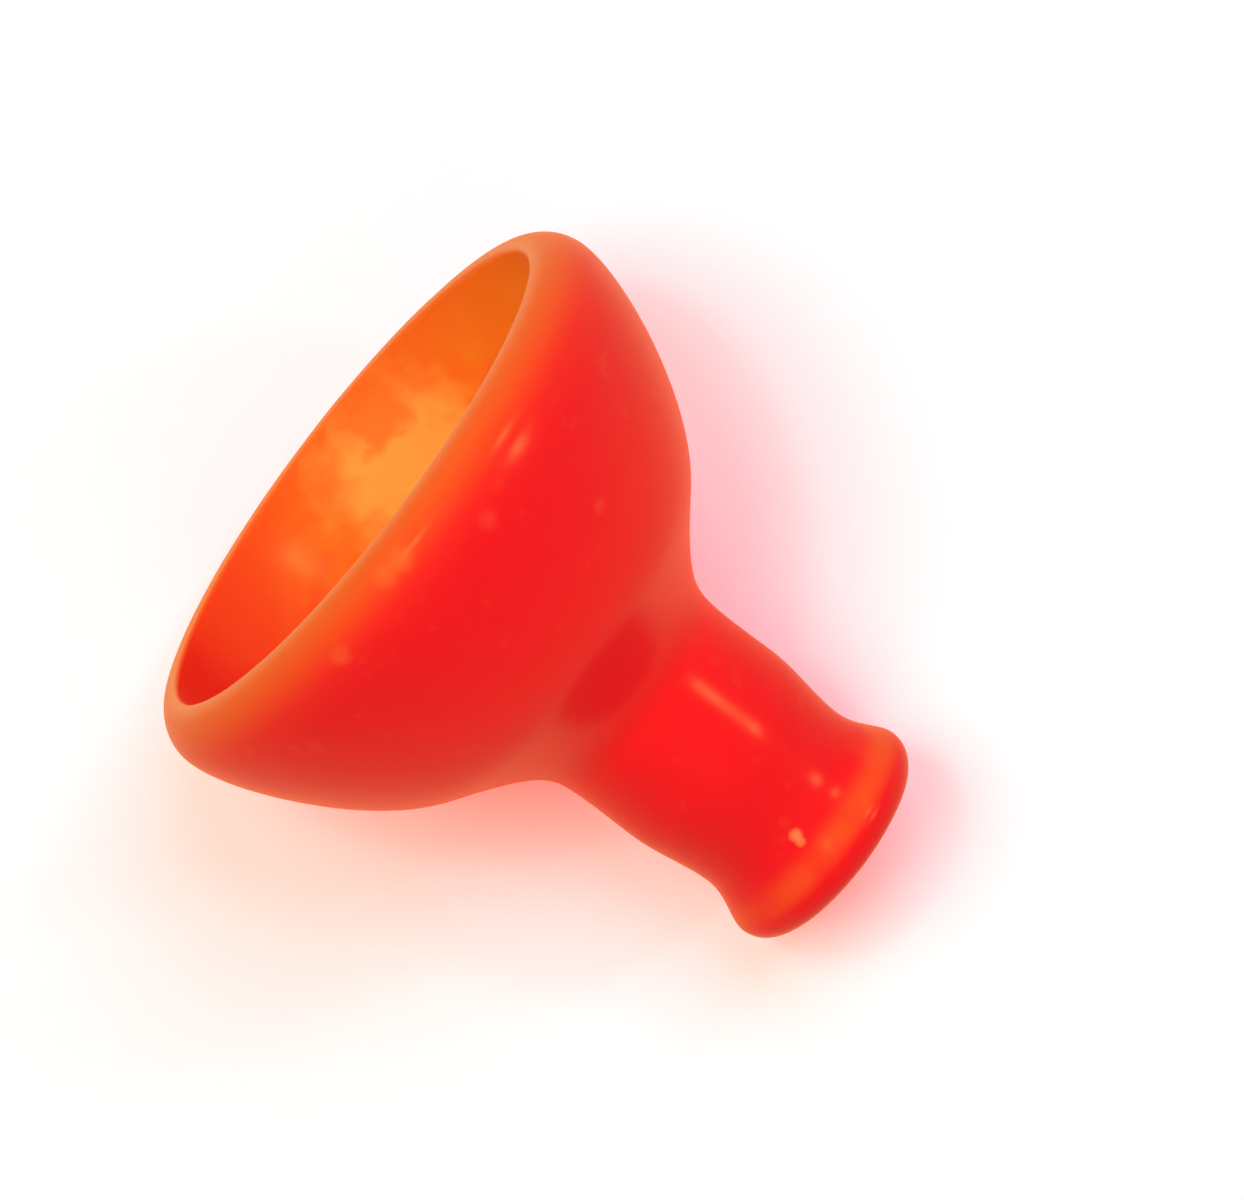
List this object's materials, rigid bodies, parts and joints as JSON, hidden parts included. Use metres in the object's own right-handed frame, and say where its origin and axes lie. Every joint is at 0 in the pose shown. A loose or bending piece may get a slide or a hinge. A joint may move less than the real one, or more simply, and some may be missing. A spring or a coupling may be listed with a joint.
{
  "type": "twist-on wire connector",
  "caption": "Twist-on wire connector with a wide soft bell skirt, a slim neck with a flared tail, and a tapered square-wire spring held in a keyed cup inside.",
  "frame": {"origin": "centre of the tail face, the plane that the connector stands on", "axes": "+Z along the axis towards the mouth, X and Y across it"},
  "size_m": [0.0284, 0.0284, 0.028],
  "materials": {
    "soft_jacket": "soft translucent vinyl, satin",
    "rigid_liner": "moulded, satin",
    "spring_steel": "zinc plated"
  },
  "bodies": {
    "connector": {"jacket": "soft_jacket", "thimble": "rigid_liner", "retaining_ring": "rigid_liner", "tail_plug": "rigid_liner"},
    "spring": {"spring": "spring_steel"}
  },
  "joints": [
    {"name": "spring_turn", "type": "hinge", "parent": "connector", "child": "spring", "pos_m": [0, 0, 0], "axis": [0, 0, 1], "range_deg": [-12, 12]}
  ]
}
